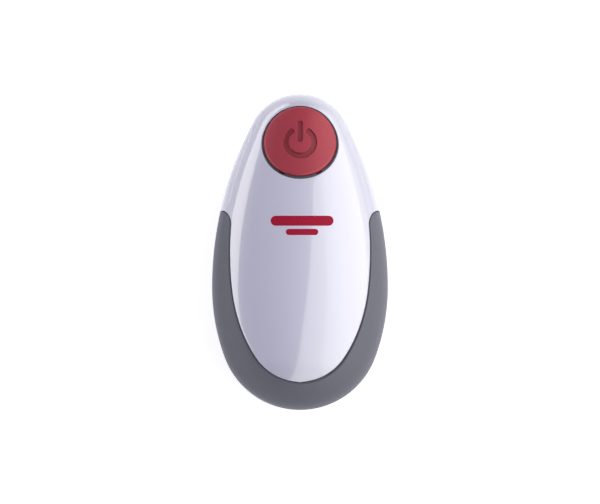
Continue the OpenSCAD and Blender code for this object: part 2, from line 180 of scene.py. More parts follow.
world = bpy.data.worlds.new("light_tent")
world.use_nodes = True
bpy.context.scene.world = world
tent = Shading(world.node_tree, "Background")
sky = tent.node("TexCoord", out=0)
east, north, up = (Wire(o) for o in tent.node("SeparateXYZ", Vector=sky).socket.node.outputs)
rim = tent.node("MapRange", {"interpolation_type": "SMOOTHSTEP"}, Value=up, From_Min=0.40,
                From_Max=0.48, To_Min=1.0, To_Max=0.0)
tint = tent.node("Mix", {"data_type": "RGBA"}, out=2, _6=(0.76, 0.745, 1.0, 1), _7=(1, 1, 1, 1),
                 Factor=rim)
tent.set("Color", tint)
tail_shade = (-0.5 - north).maths("MAXIMUM", 0.0)
nose_shade = (north - 0.6).maths("MAXIMUM", 0.0)
in_view = tent.node("LightPath", out=0)
glow = (0.76 + 0.13 * east - 0.27 * rim + 0.33 * rim * east
        - 5.5 * tail_shade - 1.1 * nose_shade).maths("MAXIMUM", 0.03)
tent.set("Strength", glow + in_view * (0.76 - glow))


def softbox(name, size, place, aim, watts, only_gloss=True, spread=180):
    """A rectangular lamp. The gloss-only ones are the long white cards mirrored in the lacquer."""
    data = bpy.data.lights.new(name, "AREA")
    data.shape = "RECTANGLE"
    data.size, data.size_y = size
    data.energy = watts
    data.color = (1, 0.99, 0.94)
    data.spread = radians(spread)
    lamp = bpy.data.objects.new(name, data)
    lamp.location = place
    lamp.rotation_euler = (Vector(place) - Vector(aim)).to_track_quat("Z", "Y").to_euler()
    lamp.visible_diffuse = not only_gloss
    lamp.visible_glossy = only_gloss
    bpy.context.scene.collection.objects.link(lamp)
    return lamp


softbox("key_softbox", (1.1, 1.6), (1.25, 0.1, 1.2), (0, 0, 0.03), 7.2, only_gloss=False)
overhead = softbox("overhead_card", (3.0, 10), (1.57, -0.39, 1.0), (1.57, -0.39, 0), 226)
overhead.rotation_euler = (0, 0, -radians(15))
softbox("side_card", (12, 7), (3.0, 0, 3.5), (0, 0, 3.5), 290, spread=160)
softbox("left_card", (12, 0.79), (-1.5, 0, 0.395), (0, 0, 0.395), 128)

bpy.ops.object.select_all(action="DESELECT")
bpy.ops.mesh.primitive_plane_add(size=8, location=(0, 0, 0))
table = bpy.context.object
table.name = "table_top"
# The table's emission is painted light: its glow lifts the shadow round the opener and lights it from below.
table_paint = Finish("glowing_white_table", (0.93, 0.93, 0.94), 0.7, Specular_IOR_Level=0.0,
                     Emission_Color=(1, 1, 1, 1),
                     Emission_Strength=0.7)
table_paint.set("Roughness", table_paint.grain(3.0) * 0.1 + 0.6)
# Away from the opener the glow dims and the colour turns greyer, so that less light reaches the tail.
off_centre = table_paint.node("VectorMath", {"operation": "LENGTH"}, out=1, _0=table_paint.place())
far = table_paint.node("MapRange", {"interpolation_type": "SMOOTHSTEP"}, Value=off_centre, From_Min=0.21,
                       From_Max=0.80)
table_paint.set("Base Color", table_paint.node("Mix", {"data_type": "RGBA"}, out=2, Factor=far,
                                               _6=(0.93, 0.93, 0.94, 1), _7=(0.76, 0.76, 0.72, 1)))
table_paint.set("Emission Color", table_paint.node("Mix", {"data_type": "RGBA"}, out=2, Factor=far,
                                                   _6=(1, 1, 1, 1), _7=(0.53, 0.53, 0.51, 1)))
table.data.materials.append(table_paint.material)

# ---------------------------------------------------------------- housings
# Two injection-moulded shells, 2.2 mm thick: a lacquered white crown and a
# grey lower half. They meet at a seam that runs up the tail, turns down each
# flank in an S and goes round under the nose. Seam edges are rounded 0.35 mm.
white = Finish("pearl_white_lacquer", (0.80, 0.80, 0.83), 0.30, Coat_Weight=1.0, Coat_Roughness=0.05)
white.set("Roughness", white.grain(900.0) * 0.08 + 0.26)
white.bump(white.grain(60.0, 1.0), 0.02 * MM)

WALL, FLOOR, BASE, FLAT = 2.2, 9.0, 28.0, 32 / 51.5
NOSE, FRONT, REAR, TAIL = (0, 61.5, 31), (-153.717, -20.5, 205.217), (-67.211, -20.5, 118.711), (0, -45.5, 47)
TURNS = (pi / 2, atan2(82, 153.717), 0.0, -atan2(25, 67.211), -pi / 2)


def outline(along):
    """Half width, y and outward normal of the egg, from the nose tip (0) to the tail tip (1)."""
    arcs = (NOSE, FRONT, REAR, TAIL)
    lengths = [arc[2] * (TURNS[i] - TURNS[i + 1]) for i, arc in enumerate(arcs)]
    marks = np.cumsum([0] + lengths)
    here = np.clip(along, 0, 1) * marks[-1]
    part = np.clip(np.searchsorted(marks, here, side="right") - 1, 0, 3)
    cx, cy, r = (np.array([arc[k] for arc in arcs])[part] for k in range(3))
    turn = np.array(TURNS)[part] - (here - marks[part]) / r
    return cx + r * np.cos(turn), cy + r * np.sin(turn), np.cos(turn), np.sin(turn)


def seam_line():
    """The seam seen from the side, as (y, z) points from the tail forwards."""
    bow, bow_y, bow_top = 700, -75, 50.2
    corner, corner_y = 9.5, 14.4
    foot, foot_y, foot_z = 6, 29.9, 26
    past_nose = 140
    run = corner_y - bow_y
    lean = asin(run / (bow - corner))
    bow_z = bow_top - bow
    corner_z = bow_z + sqrt((bow - corner) ** 2 - run ** 2)
    points = [(bow_y + bow * sin(a), bow_z + bow * cos(a)) for a in np.linspace(-0.08, lean, 60)]
    points += [(corner_y + corner * sin(a), corner_z + corner * cos(a))
               for a in np.linspace(lean, pi / 2, 24)]
    points += [(foot_y - foot * cos(a), foot_z - foot * sin(a)) for a in np.linspace(0, pi / 2, 18)]
    return np.array(points + [(past_nose, foot_z - foot)])


SEAM = seam_line()


def above_seam(y, z):
    """Signed distance to the seam line, positive on the white side."""
    a, b = SEAM[:-1], SEAM[1:]
    run = b - a
    rel = np.stack([y, z], -1)[..., None, :] - a
    t = np.clip((rel * run).sum(-1) / (run * run).sum(-1), 0, 1)
    gap = rel - t[..., None] * run
    dist = np.sqrt((gap * gap).sum(-1))
    near = dist.argmin(-1)
    pick = np.take_along_axis
    cross = pick(run[:, 0] * rel[..., 1] - run[:, 1] * rel[..., 0], near[..., None], -1)[..., 0]
    return np.sign(cross) * dist.min(-1)


BUTTON_AT = np.array((0, 64.8, 48.4))
BUTTON_LEAN = radians(17)
BUTTON_AXIS = np.array((0, sin(BUTTON_LEAN), cos(BUTTON_LEAN)))
BUTTON_TILT = np.array((0, cos(BUTTON_LEAN), -sin(BUTTON_LEAN)))
LAND = 0.5


def cusp(p):
    """The seam dips a little at the middle of the tail."""
    return 0.2 * np.exp(-np.abs(p[..., 0]) / 2.0) * (p[..., 1] < -60)


def outside_button(p, radius):
    rel = p - BUTTON_AT
    rel = rel - (rel @ BUTTON_AXIS)[..., None] * BUTTON_AXIS
    return np.sqrt((rel * rel).sum(-1)) - radius


CROWN_ROWS, FLANK_ROWS, ROUND_ROWS = 56, 10, 6
LOWER_EDGE, NOSE_EDGE, DENT, SEAM_RELIEF = 2.2, 0.3, 0.55, 0.55


def skin(along, row, inside=False):
    """A point of the body's surface. Rows count outwards from the ridge, to the right if positive."""
    side, row = np.sign(row), np.abs(row)
    width, y, nx, ny = outline(along)
    climb = np.clip(1 - row / CROWN_ROWS, 0, 1) * pi / 2
    edge = LOWER_EDGE - (LOWER_EDGE - NOSE_EDGE) * np.clip((y - 58) / 14, 0, 1)
    down = np.clip((row - CROWN_ROWS) / FLANK_ROWS, 0, 1)
    curl = np.clip((row - CROWN_ROWS - FLANK_ROWS) / ROUND_ROWS, 0, 1) * pi / 2
    flat = np.clip(row - CROWN_ROWS - FLANK_ROWS - ROUND_ROWS, 0, 1)
    inset = edge * (1 - np.cos(curl)) + flat * (3.2 - edge)
    drop = down * (BASE - FLOOR - edge) + edge * np.sin(curl)
    # a faint moulded line runs on from the seam along both sides of the nose
    past = (np.degrees(climb) - 23) / 4
    dent = DENT * np.exp(-np.clip(past, 0, 9) / 1.6) * (1 - np.exp(-np.clip(past, 0, 9) / 0.25))
    dent = dent * np.clip((y - 14) / 14, 0, 1) * np.clip((90.5 - y) / 14, 0, 1)
    if inside:
        inset = np.maximum(inset, WALL)
        drop = np.minimum(drop, BASE - FLOOR - WALL)
        dent = 0
    width, y = width - inset * nx, y - inset * ny
    return np.stack([side * width * np.cos(climb) - side * dent * 0.4,
                     y,
                     BASE + FLAT * width * np.sin(climb) - dent - drop], -1)


def cut_shell(name, level, last_row, columns=210, round_off=0.35):
    """The part of the body's skin where level(points) > 0, given its thickness and rounded edges."""
    rows = np.arange(-last_row, last_row + 1, dtype=float)
    u, w = np.meshgrid(np.linspace(0, 1, columns), rows, indexing="ij")
    f = level(skin(u, w))
    nu, nw = u.shape

    def crossing(a, b):
        """Share of the way from grid point a to b at which the level is zero."""
        lo, hi = 0.0, 1.0
        for _ in range(14):
            mid = (lo + hi) / 2
            here = level(skin(np.array(u[a] + mid * (u[b] - u[a])), np.array(w[a] + mid * (w[b] - w[a]))))
            lo, hi = (mid, hi) if (here > 0) == (f[a] > 0) else (lo, mid)
        return (lo + hi) / 2

    # grid points close to the cut are moved onto it, so that no sliver is left
    cuts = {}
    for i in range(nu):
        for k in range(nw):
            for a, b in (((i, k), (i + 1, k)), ((i, k), (i, k + 1))):
                if b[0] < nu and b[1] < nw and (f[a] > 0) != (f[b] > 0):
                    cuts[a, b] = crossing(a, b)
    moves = {}
    for (a, b), t in cuts.items():
        for point, share in ((a, t), (b, 1 - t)):
            if share < 0.35 and share < moves.get(point, (1, 0, 0))[0]:
                other = b if point is a else a
                moves[point] = (share, u[point] + share * (u[other] - u[point]),
                                w[point] + share * (w[other] - w[point]))
    for point, (_, new_u, new_w) in moves.items():
        if 0 < point[0] < nu - 1 or new_u == u[point]:
            u[point], w[point], f[point] = new_u, new_w, 0.0
    mesh = bmesh.new()
    where, ids = [], {}

    def corner(key, place):
        if key not in ids:
            ids[key] = len(where)
            where.append(place)
        return ids[key]

    polygons = []
    for i in range(nu - 1):
        for k in range(nw - 1):
            ring = [(i, k), (i + 1, k), (i + 1, k + 1), (i, k + 1)]
            if max(f[p] for p in ring) <= 0:
                continue
            face = []
            for a, b in zip(ring, ring[1:] + ring[:1]):
                if f[a] >= 0:
                    face.append(corner(a, (u[a], w[a])))
                if f[a] * f[b] < 0:
                    first, second = min(a, b), max(a, b)
                    key = (first, second)
                    if key not in ids:
                        t = crossing(first, second)
                        corner(key, (u[first] + t * (u[second] - u[first]),
                                     w[first] + t * (w[second] - w[first])))
                    face.append(ids[key])
            if len(face) > 2:
                polygons.append(face)
    where = np.array(where)
    top = skin(where[:, 0], where[:, 1])
    under = skin(where[:, 0], where[:, 1], inside=True)
    outer = [mesh.verts.new(p * MM) for p in top]
    inner = [mesh.verts.new(p * MM) for p in under]
    directed = {}
    for face in polygons:
        mesh.faces.new([outer[v] for v in face])
        mesh.faces.new([inner[v] for v in reversed(face)])
        for a, b in zip(face, face[1:] + face[:1]):
            directed[a, b] = True
    border = [(a, b) for a, b in directed
              if (b, a) not in directed and not where[a, 0] == where[b, 0] in (0.0, 1.0)]
    nudge = 1e-3
    edge_rows = {}
    for v in {v for pair in border for v in pair}:
        p = top[v]
        along, row = where[v]
        if abs(float(level(p))) > 0.02:
            edge_rows[v] = [outer[v], inner[v]]
            continue
        du = skin(np.array(along + nudge), np.array(row)) - skin(np.array(along - nudge), np.array(row))
        dw = skin(np.array(along), np.array(row + 0.01)) - skin(np.array(along), np.array(row - 0.01))
        normal = np.cross(du, dw)
        normal /= np.linalg.norm(normal)
        slope = np.array([float(level(p + d) - level(p - d)) for d in np.eye(3) * 0.01]) / 0.02
        out = -(slope - (slope @ normal) * normal)
        out /= np.linalg.norm(out)
        line = [outer[v]]
        for step in range(1, 5):
            a = step * pi / 8
            line.append(mesh.verts.new((p + round_off * (sin(a) * out - (1 - cos(a)) * normal)) * MM))
        line.append(mesh.verts.new((under[v] + round_off * out) * MM))
        line.append(inner[v])
        edge_rows[v] = line
    for a, b in border:
        left, right = edge_rows[a], edge_rows[b]
        if len(left) != len(right):
            left, right = [left[0], left[-1]], [right[0], right[-1]]
        for k in range(len(left) - 1):
            mesh.faces.new([left[k], left[k + 1], right[k + 1], right[k]])
    for v in mesh.verts:
        if abs(v.co.x) < 4e-6:
            v.co.x = 0
    bmesh.ops.remove_doubles(mesh, verts=mesh.verts, dist=2e-6)
    bmesh.ops.dissolve_degenerate(mesh, dist=1e-6, edges=mesh.edges)
    data = bpy.data.meshes.new(name)
    mesh.to_mesh(data)
    mesh.free()
    piece = bpy.data.objects.new(name, data)
    bpy.context.scene.collection.objects.link(piece)
    bpy.ops.object.select_all(action="DESELECT")
    piece.select_set(True)
    bpy.context.view_layer.objects.active = piece
    bpy.ops.object.shade_smooth_by_angle(angle=radians(35))
    return piece


def crown_level(p):
    hole = 22.3 + LAND
    return np.minimum(above_seam(p[..., 1], p[..., 2]) + cusp(p) - SEAM_RELIEF,
                      outside_button(p + LAND * BUTTON_TILT, hole))


crown = cut_shell("crown_shell", crown_level, CROWN_ROWS + FLANK_ROWS)
crown.data.materials.append(white.material)
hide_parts("upper_housing")
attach(crown, "housing")


# The crown's four screw bosses and the collar that guides the button stay as
# they are in the frame: what lies inside the shell is cut out of that piece.
def inner_solid(inset):
    """The space under the crown, down to below the seam."""
    mesh = bmesh.new()
    u = np.linspace(0, 1, 121)
    rows = []
    for row in np.arange(-CROWN_ROWS, CROWN_ROWS + 1, 2.0):
        width, y, nx, ny = outline(u)
        width, y = width - inset * nx, y - inset * ny
        climb = (1 - abs(row) / CROWN_ROWS) * pi / 2
        x = np.sign(row) * width * cos(climb) if row else 0 * width
        z = BASE + FLAT * width * sin(climb)
        rows.append([mesh.verts.new(p * MM) for p in np.stack([x, y, z], -1)])
    for edge in (rows[0], rows[-1]):
        foot = [mesh.verts.new((v.co.x, v.co.y, 12 * MM)) for v in edge]
        rows.insert(0 if edge is rows[0] else len(rows), foot)
    for a, b in zip(rows, rows[1:]):
        for i in range(120):
            mesh.faces.new([a[i], a[i + 1], b[i + 1], b[i]])
    mesh.faces.new(rows[0] + rows[-1][::-1])
    bmesh.ops.remove_doubles(mesh, verts=mesh.verts, dist=1e-6)
    bmesh.ops.dissolve_degenerate(mesh, dist=1e-7, edges=mesh.edges)
    bmesh.ops.holes_fill(mesh, edges=mesh.edges)
    bmesh.ops.recalc_face_normals(mesh, faces=mesh.faces)
    data = bpy.data.meshes.new("inner_solid")
    mesh.to_mesh(data)
    mesh.free()
    made = bpy.data.objects.new("inner_solid", data)
    bpy.context.scene.collection.objects.link(made)
    return made


def carve(piece, tool, operation="DIFFERENCE"):
    """Cuts a piece with another solid, which is used up."""
    cut = piece.modifiers.new("cut", "BOOLEAN")
    cut.operation = operation
    cut.solver = "EXACT"
    cut.object = tool
    bpy.ops.object.select_all(action="DESELECT")
    bpy.context.view_layer.objects.active = piece
    piece.select_set(True)
    bpy.ops.object.modifier_apply(modifier="cut")
    bpy.data.objects.remove(tool)


def block(x, y, z):
    """A cube stretched between two corners, in millimetres."""
    bpy.ops.object.select_all(action="DESELECT")
    middle = [(a + b) / 2 * MM for a, b in (x, y, z)]
    bpy.ops.mesh.primitive_cube_add(size=1, location=middle)
    made = bpy.context.object
    made.scale = [(b - a) * MM for a, b in (x, y, z)]
    bpy.ops.object.transform_apply(location=True, rotation=False, scale=True)
    return made


def egg_prism(inset, low, high, curl_rows=0):
    """The outline as a solid, its lower edge rounded like the housing's when curl_rows is given."""
    mesh = bmesh.new()
    u = np.linspace(0, 1, 241)
    rings = []
    if curl_rows:
        for row in range(CROWN_ROWS + FLANK_ROWS, CROWN_ROWS + FLANK_ROWS + curl_rows + 1):
            right = skin(u, np.full(241, float(row)))
            left = skin(u[1:-1], np.full(239, -float(row)))[::-1]
            rings.append(np.concatenate([right, left]))
        top = rings[0].copy()
        top[:, 2] = high
        rings.insert(0, top)
    else:
        w, y, nx, ny = outline(u)
        right = np.stack([w - inset * nx, y - inset * ny], -1)
        loop = np.concatenate([right, (right * (-1, 1))[1:-1][::-1]])
        rings = [np.column_stack([loop, np.full(len(loop), z)]) for z in (high, low)]
    rows = [[mesh.verts.new(p * MM) for p in ring] for ring in rings]
    count = len(rows[0])
    for a, b in zip(rows, rows[1:]):
        for i in range(count):
            mesh.faces.new([a[i], a[(i + 1) % count], b[(i + 1) % count], b[i]])
    mesh.faces.new(reversed(rows[0]))
    mesh.faces.new(rows[-1])
    bmesh.ops.recalc_face_normals(mesh, faces=mesh.faces)
    data = bpy.data.meshes.new("egg_prism")
    mesh.to_mesh(data)
    mesh.free()
    made = bpy.data.objects.new("egg_prism", data)
    bpy.context.scene.collection.objects.link(made)
    return made


boss_data = nodes["upper_housing"].data.copy()
bosses = bpy.data.objects.new("crown_bosses", boss_data)
bpy.context.scene.collection.objects.link(bosses)
mesh = bmesh.new()
mesh.from_mesh(boss_data)
bmesh.ops.remove_doubles(mesh, verts=mesh.verts, dist=1e-6)
mesh.to_mesh(boss_data)
mesh.free()
carve(bosses, inner_solid(2.4), "INTERSECT")
bpy.ops.object.shade_smooth_by_angle(angle=radians(30))
bosses.data.materials.clear()
bosses.data.materials.append(white.material)
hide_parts("upper_housing")
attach(bosses, "housing")

# The grey half: flank and rounded lower edge as one shell, then the floor with
# its bosses, bay and screw holes, taken over from the frame inside the edge.
grey = Finish("grey_soft_plastic", (0.185, 0.19, 0.203), 0.42, Specular_IOR_Level=0.12)
grey.speckle(grey.grain(2500.0, 4.0), (0.178, 0.183, 0.197), (0.206, 0.211, 0.226))
grey.set("Roughness", grey.grain(1800.0) * 0.12 + 0.38)
grey.bump(grey.grain(5200.0, 2.0), 0.03 * MM, 0.5)


def grip_level(p):
    return -above_seam(p[..., 1], p[..., 2]) - cusp(p) - SEAM_RELIEF


LID_HALF, LID_FRONT, LID_TOP, TONGUE_HALF, TONGUE_LOW, LID_FIT = 31.5, -16, 10.8, 33, 9.9, 0.1
BEHIND, BELOW = -110, 5
opening, tongue_way = LID_HALF + LID_FIT, TONGUE_HALF + LID_FIT
grip = cut_shell("grip_shell", grip_level, CROWN_ROWS + FLANK_ROWS + ROUND_ROWS + 1)
length, top = (BEHIND, LID_FRONT + LID_FIT), LID_TOP + LID_FIT
carve(grip, block((-opening, opening), length, (BELOW, top)))
carve(grip, block((-tongue_way, tongue_way), length, (TONGUE_LOW - LID_FIT, top)))
bpy.ops.object.shade_smooth_by_angle(angle=radians(35))
grip.data.materials.append(grey.material)
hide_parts("lower_housing")
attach(grip, "housing")

floor_data = nodes["lower_housing"].data.copy()
floor_pan = bpy.data.objects.new("housing_floor", floor_data)
bpy.context.scene.collection.objects.link(floor_pan)
mesh = bmesh.new()
mesh.from_mesh(floor_data)
bmesh.ops.remove_doubles(mesh, verts=mesh.verts, dist=1e-6)
mesh.to_mesh(floor_data)
mesh.free()
carve(floor_pan, egg_prism(3.25, -2, 27), "INTERSECT")
bpy.ops.object.shade_smooth_by_angle(angle=radians(30))
floor_data = floor_pan.data
floor_data.materials.clear()
floor_data.materials.append(grey.material)
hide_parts("lower_housing")
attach(floor_pan, "housing")

# ---------------------------------------------------------------- battery door
# A flat tray lid in the same grey plastic. Tongues on both sides run in
# grooves of the floor; its rear edge is rounded like the housing round it.
door = block((-LID_HALF, LID_HALF), (BEHIND, LID_FRONT), (BELOW, LID_TOP))
door.name = door.data.name = "battery_lid"
carve(door, egg_prism(0, FLOOR, 14, ROUND_ROWS), "INTERSECT")
carve(door, block((-TONGUE_HALF, TONGUE_HALF), (-60, LID_FRONT), (TONGUE_LOW, LID_TOP)), "UNION")
notch_top, notch_low, notch_width = 9.6, 8, 1.2
for i in range(5):
    notch_y = -82 + 2.6 * i
    carve(door, block((-10, 10), (notch_y, notch_y + notch_width), (notch_low, notch_top)))
carve(door, block((-6, 6), (-17 - notch_width, -17), (notch_low, notch_top)))
bpy.ops.object.shade_smooth_by_angle(angle=radians(30))
door.data.materials.append(grey.material)
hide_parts("battery_door")
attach(door, "door")

# ---------------------------------------------------------------- button
# A domed red cap that continues the crown, moulded with its skirt and stem.
# An on/off sign is sunk 1.1 mm into the top: a broken ring with a bar, darkened with painted shade in its
# hollow.
red = Finish("satin_red_plastic", (0.47, 0.033, 0.05), 0.5, Specular_IOR_Level=0.25, Coat_Weight=0.2,
             Coat_Roughness=0.3)
grained = red.node("ValToRGB", {"stops": [(0.3, (0.44, 0.030, 0.047)), (0.7, (0.50, 0.036, 0.056))]},
                   Fac=red.grain(2600.0, 4.0))
# Painted shade: the sunk sign is coloured darker red the deeper it lies.
groove_shade = red.node("Attribute", {"attribute_name": "groove_shade"}, out=2)
red.set("Base Color", red.node("Mix", {"data_type": "RGBA"}, out=2, Factor=groove_shade * 0.75, _6=grained,
                               _7=(0.21, 0.012, 0.02, 1)))
red.set("Roughness", red.grain(2000.0) * 0.12 + 0.44)
red.bump(red.grain(5200.0, 2.0), 0.025 * MM, 0.5)


def width_at(y, grow):
    cx, cy, r = np.where(y > 76.1, 0, np.where(y > -20.5, FRONT[0], REAR[0])), \
        np.where(y > 76.1, 61.5, -20.5), np.where(y > 76.1, 31, np.where(y > -20.5, FRONT[2], REAR[2]))
    return cx + np.sqrt(np.maximum((r + grow) ** 2 - (y - cy) ** 2, 0))


def dome(reach, turn, grow):
    """Height over the button's base point at which its axis direction meets the grown crown."""
    lo, hi = np.full(np.shape(turn), -14.0), np.full(np.shape(turn), 6.0)
    for _ in range(24):
        mid = (lo + hi) / 2
        p = seat(reach, turn, mid)
        top = BASE + FLAT * np.sqrt(np.maximum(width_at(p[..., 1], grow) ** 2 - p[..., 0] ** 2, 0))
        lo, hi = np.where(p[..., 2] < top, mid, lo), np.where(p[..., 2] < top, hi, mid)
    return (lo + hi) / 2


def seat(reach, turn, height):
    across = np.cos(turn)[..., None] * np.array((1.0, 0, 0))
    ahead = np.sin(turn)[..., None] * BUTTON_TILT
    flat = np.asarray(reach)[..., None] * (across + ahead)
    return BUTTON_AT + flat + np.asarray(height)[..., None] * BUTTON_AXIS


def turned(name, rows, count, closed=False):
    """A skin through rings about the button's axis. Each row gives reach and height per angle."""
    turn = np.arange(count) * 2 * pi / count
    mesh = bmesh.new()
    rings = []
    for reach, height in rows:
        if np.all(np.asarray(reach) == 0):
            rings.append([mesh.verts.new(seat(np.zeros(1), turn[:1], np.mean(height) * np.ones(1))[0] * MM)])
        else:
            points = seat(reach * np.ones(count), turn, height * np.ones(count))
            rings.append([mesh.verts.new(p * MM) for p in points])
    for a, b in zip(rings, rings[1:] + (rings[:1] if closed else [])):
        for i in range(count):
            j = (i + 1) % count
            face = [a[0]] if len(a) == 1 else [a[i], a[j]]
            mesh.faces.new(face + ([b[0]] if len(b) == 1 else [b[j], b[i]]))
    bmesh.ops.recalc_face_normals(mesh, faces=mesh.faces)
    data = bpy.data.meshes.new(name)
    mesh.to_mesh(data)
    mesh.free()
    made = bpy.data.objects.new(name, data)
    bpy.context.scene.collection.objects.link(made)
    bpy.ops.object.select_all(action="DESELECT")
    made.select_set(True)
    bpy.context.view_layer.objects.active = made
    bpy.ops.object.shade_smooth_by_angle(angle=radians(40))
    return made


GROOVE_DEPTH, GROOVE_REACH, GROOVE_GAP = 1.1, 8.2, 0.62


def sunk(reach, turn):
    """Depth of the on/off sign at a point of the cap."""
    x, y = reach * np.cos(turn), reach * np.sin(turn) + 1.0
    ring_angle = np.arctan2(x, y)
    ends = [np.hypot(x - GROOVE_REACH * sin(s * GROOVE_GAP), y - GROOVE_REACH * cos(GROOVE_GAP))
            for s in (-1, 1)]
    ring = np.where(np.abs(ring_angle) > GROOVE_GAP, np.abs(np.hypot(x, y) - GROOVE_REACH),
                    np.minimum(*ends))
    bar = np.hypot(x, y - np.clip(y, 1.8, 11.4))
    wall = np.clip((np.minimum(ring, bar) - 1.5) / 0.45 + 0.5, 0, 1)
    return GROOVE_DEPTH * (1 - wall ** 2 * (3 - 2 * wall))


CAP_SPOKES, BUTTON_RADIUS, BUTTON_RISE, BUTTON_WALL, CAP_EDGE = 288, 21.2, 0.6, 2.4, 1.2
SKIRT_FOOT, SKIRT_BORE, STEM_RADIUS, STEM_FOOT = -10, 19.4, 2.5, -11.6
EDGE_START = BUTTON_RADIUS - CAP_EDGE
turn = np.arange(CAP_SPOKES) * 2 * pi / CAP_SPOKES
cap_rows = [(0, dome(np.zeros(CAP_SPOKES), turn, BUTTON_RISE))]
for reach in list(np.arange(0.25, 14.2, 0.25)) + list(np.arange(14.7, EDGE_START, 0.8)):
    cap_rows.append((reach, dome(np.full(CAP_SPOKES, reach), turn, BUTTON_RISE) - sunk(reach, turn)))
edge_height = dome(np.full(CAP_SPOKES, EDGE_START), turn, BUTTON_RISE)
slope = (edge_height - dome(np.full(CAP_SPOKES, EDGE_START - 0.5), turn, BUTTON_RISE)) / 0.5
for step in range(0, 7):
    a = step * pi / 12
    cap_rows.append((EDGE_START + CAP_EDGE * sin(a),
                     edge_height + slope * CAP_EDGE * sin(a) - CAP_EDGE * (1 - cos(a))))
cap_rows += [(BUTTON_RADIUS, np.minimum(edge_height - 2.2, -6.5)), (BUTTON_RADIUS, SKIRT_FOOT + 0.2),
             (BUTTON_RADIUS - 0.2, SKIRT_FOOT), (SKIRT_BORE + 0.2, SKIRT_FOOT),
             (SKIRT_BORE, SKIRT_FOOT + 0.2)]
under = dome(np.full(CAP_SPOKES, SKIRT_BORE), turn, BUTTON_RISE) - BUTTON_WALL
cap_rows += [(SKIRT_BORE, np.minimum(under, -8.5)), (SKIRT_BORE - 0.2, under)]
cap_rows += [(r, dome(np.full(CAP_SPOKES, r), turn, BUTTON_RISE) - BUTTON_WALL) for r in (16, 12, 8, 5, 3)]
cap_rows += [(STEM_RADIUS, -3.2), (STEM_RADIUS, STEM_FOOT + 0.3), (STEM_RADIUS - 0.3, STEM_FOOT),
             (0, STEM_FOOT)]
cap = turned("button_cap", cap_rows, CAP_SPOKES)
# The sign's depth at each point is kept on the cap as the share of painted shade there.
from_axis = np.array([v.co for v in cap.data.vertices]) / MM - BUTTON_AT
over, ahead = from_axis[:, 0], from_axis @ BUTTON_TILT
depth = sunk(np.hypot(over, ahead), np.arctan2(ahead, over)) * (from_axis @ BUTTON_AXIS > -2.2)
groove_shade_share = cap.data.attributes.new("groove_shade", "FLOAT", "POINT")
groove_shade_share.data.foreach_set("value", (depth / GROOVE_DEPTH).astype(float))
cap.data.materials.append(red.material)
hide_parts("button")
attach(cap, "button")

# The dark guide ring the cap slides in, moulded in one piece. Its land is widest
# at the tail side, where two small slots let its snap hooks be reached.
dark = Finish("charcoal_plastic", (0.05, 0.055, 0.055), 0.4)
dark.speckle(dark.grain(1500.0), (0.04, 0.045, 0.045), (0.065, 0.07, 0.07))
dark.set("Roughness", dark.grain(2200.0) * 0.15 + 0.33)
dark.bump(dark.grain(3600.0), 0.02 * MM, 0.4)
LAND_RADIUS, GUIDE_BORE, FLANGE_RADIUS, FLANGE_FOOT, SLOT_DEPTH = 22.0, 21.45, 24, -10.6, 2.2
bore_edge = GUIDE_BORE + 0.15
lean = -np.sin(turn) * LAND
outer_reach = lean + np.sqrt((LAND_RADIUS + LAND) ** 2 - (LAND * np.cos(turn)) ** 2)
slots = sum(np.clip(1.9 - np.abs((turn - (1.5 + s * 0.165) * pi)) * 21.8, 0, 1) for s in (-1, 1))
land = dome(outer_reach, turn, 0) - 0.28
inner_land = dome(np.full(CAP_SPOKES, GUIDE_BORE), turn, 0) - 0.30
slot_floor = inner_land - SLOT_DEPTH * slots
slot_reach = bore_edge + (outer_reach - bore_edge) * 0.5
ring_rows = [(GUIDE_BORE, FLANGE_FOOT), (GUIDE_BORE, -5.8), (GUIDE_BORE, slot_floor - 0.2),
             (bore_edge, slot_floor), (slot_reach, slot_floor),
             (slot_reach + 0.05, land), (outer_reach - 0.12, land), (outer_reach, land - 0.15),
             (outer_reach, -9.4), (FLANGE_RADIUS, -9.45), (FLANGE_RADIUS, FLANGE_FOOT)]
guide = turned("button_guide", ring_rows, CAP_SPOKES, closed=True)
guide.data.materials.append(dark.material)
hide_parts("button_bezel")
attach(guide, "housing")

# ---------------------------------------------------------------- button spring
# A five-turn compression spring of 0.9 mm steel wire under the cap. It stands
# on the switch bracket. In use it shortens by the button's stroke; here it is
# built at one length, fixed to the housing.
def as_made(name, body, slot, material, *stands_for):
    """Names the active object, gives it its finish, hides the frame pieces it stands for and attaches it to
    its body.
    """
    piece = bpy.context.object
    piece.name = piece.data.name = name
    piece.data.materials.clear()
    piece.data.materials.append(material)
    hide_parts(*stands_for)
    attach(piece, body)
    return piece


def apply_modifier(kind, **settings):
    modifier = bpy.context.object.modifiers.new("step", kind)
    for key, value in settings.items():
        setattr(modifier, key, value)
    bpy.ops.object.modifier_apply(modifier="step")


